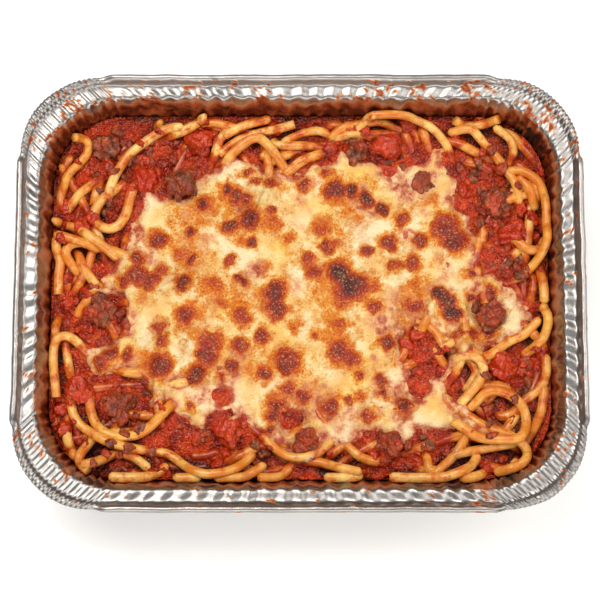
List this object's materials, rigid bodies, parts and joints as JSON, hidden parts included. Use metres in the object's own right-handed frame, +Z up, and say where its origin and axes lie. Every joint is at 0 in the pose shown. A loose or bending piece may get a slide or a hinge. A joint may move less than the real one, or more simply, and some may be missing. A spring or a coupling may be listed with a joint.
{
  "type": "foil tray meal",
  "caption": "Oblong rolled-rim foil tray filled with baked spaghetti in meat and tomato sauce under a browned sheet of melted cheese",
  "frame": {"origin": "centre of the footprint, on the surface the tray stands on", "axes": "+X along the tray's long side, +Y away from the viewer across the tray, +Z up"},
  "size_m": [0.186, 0.1444, 0.038],
  "materials": {
    "foil": "bright wrinkled foil",
    "pasta": "moist, oily",
    "cheese": "melted, browned in spots",
    "mince": "moist, crumbly",
    "tomato": "wet"
  },
  "bodies": {
    "root": {"foil_tray": "foil", "spaghetti_heap": "pasta", "melted_cheese": "cheese", "mince_lump_1": "mince", "mince_lump_2": "mince", "mince_lump_3": "mince", "mince_lump_4": "mince", "mince_lump_5": "mince", "mince_lump_6": "mince", "mince_lump_7": "mince", "mince_lump_8": "mince", "mince_lump_9": "mince", "mince_lump_10": "mince", "tomato_chunk_1": "tomato", "tomato_chunk_2": "tomato", "tomato_chunk_3": "tomato", "tomato_chunk_4": "tomato", "tomato_chunk_5": "tomato", "tomato_chunk_6": "tomato", "tomato_chunk_7": "tomato", "tomato_chunk_8": "tomato"}
  },
  "joints": []
}
